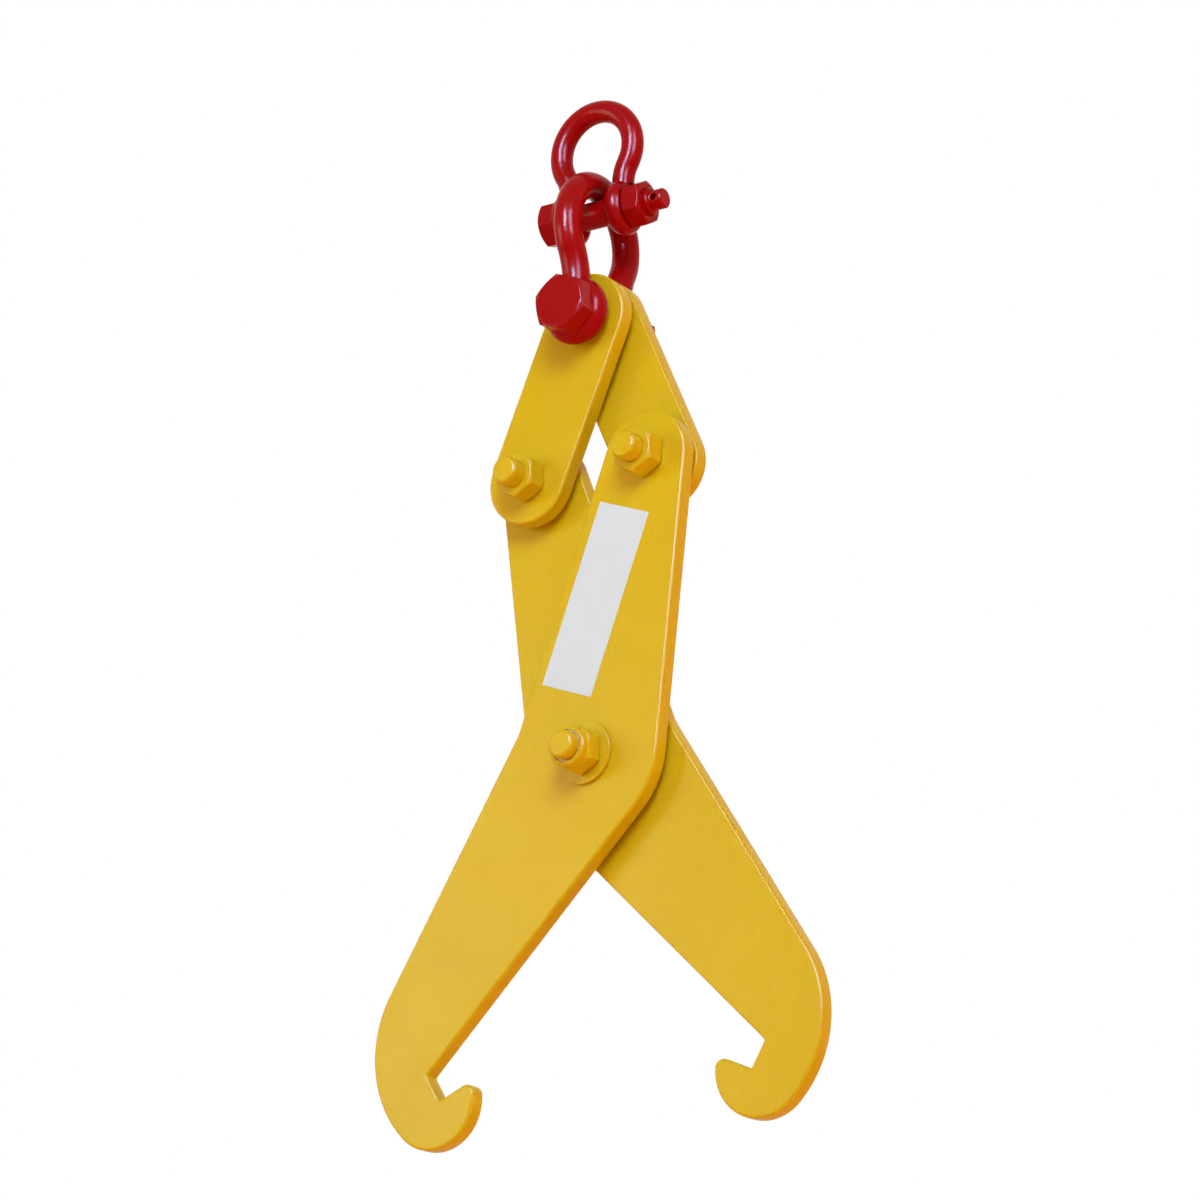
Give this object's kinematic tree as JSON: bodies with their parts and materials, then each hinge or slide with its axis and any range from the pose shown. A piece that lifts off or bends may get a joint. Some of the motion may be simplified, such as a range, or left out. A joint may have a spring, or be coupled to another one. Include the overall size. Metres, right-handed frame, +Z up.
{
  "type": "beam tongs",
  "caption": "Scissor tongs of flat plate that hang from bow shackles and grip a beam's flange in hooked jaws as their legs close.",
  "frame": {"origin": "where a crane hook bears, at the inside of the upper shackle's crown", "axes": "+Z up along the hang line, +X to the right seen from the nut side, -Y towards the nut side"},
  "size_m": [0.3344, 0.1086, 0.7244],
  "materials": {
    "red_paint": "gloss",
    "yellow_paint": "gloss",
    "cotter_steel": "bright",
    "insert_ring": "satin"
  },
  "bodies": {
    "upper_shackle": {"upper_bow": "red_paint", "upper_bolt": "red_paint", "upper_nut": "red_paint"},
    "lower_shackle": {"lower_bow": "red_paint", "lower_bolt": "red_paint", "lower_nut": "red_paint", "lower_cotter": "cotter_steel"},
    "swivel": {"top_spacer": "yellow_paint"},
    "left_link": {"left_link": "yellow_paint", "left_bolt": "yellow_paint", "left_nut": "yellow_paint", "left_spacer": "yellow_paint"},
    "rear_leg": {"rear_leg": "yellow_paint", "centre_bolt": "yellow_paint", "centre_nut": "yellow_paint", "centre_insert": "insert_ring", "centre_spacer": "yellow_paint", "front_washer": "yellow_paint", "rear_washer": "yellow_paint"},
    "front_leg": {"front_leg": "yellow_paint", "right_bolt": "yellow_paint", "right_nut": "yellow_paint", "right_spacer": "yellow_paint"},
    "right_link": {"right_link": "yellow_paint"}
  },
  "joints": [
    {"name": "shackle_swing", "type": "hinge", "parent": "upper_shackle", "child": "lower_shackle", "pos_m": [0, 0, -0.069], "axis": [1, 0, 0], "range_deg": [-90, 90]},
    {"name": "tongs_swing", "type": "hinge", "parent": "lower_shackle", "child": "swivel", "pos_m": [0, 0, -0.14847], "axis": [0, 1, 0], "range_deg": [-65, 65]},
    {"name": "left_link_turn", "type": "hinge", "parent": "swivel", "child": "left_link", "pos_m": [0, 0, -0.14847], "axis": [0, 1, 0], "range_deg": [-7.15, 23.15]},
    {"name": "right_link_turn", "type": "hinge", "parent": "swivel", "child": "right_link", "pos_m": [0, 0, -0.14847], "axis": [0, 1, 0], "range_deg": [-23.15, 7.15]},
    {"name": "left_knee", "type": "hinge", "parent": "left_link", "child": "rear_leg", "pos_m": [-0.04722, 0, -0.25803], "axis": [0, 1, 0], "range_deg": [-35.11, 10.83]},
    {"name": "tongs_open", "type": "hinge", "parent": "rear_leg", "child": "front_leg", "pos_m": [0, 0, -0.45701], "axis": [0, 1, 0], "range_deg": [-7.36, 23.93]}
  ],
  "couplings": [
    {"joint": "left_link_turn", "follows": "tongs_open", "ratio": 0.96525},
    {"joint": "right_link_turn", "follows": "tongs_open", "ratio": -0.96525},
    {"joint": "left_knee", "follows": "tongs_open", "ratio": -1.4652}
  ]
}
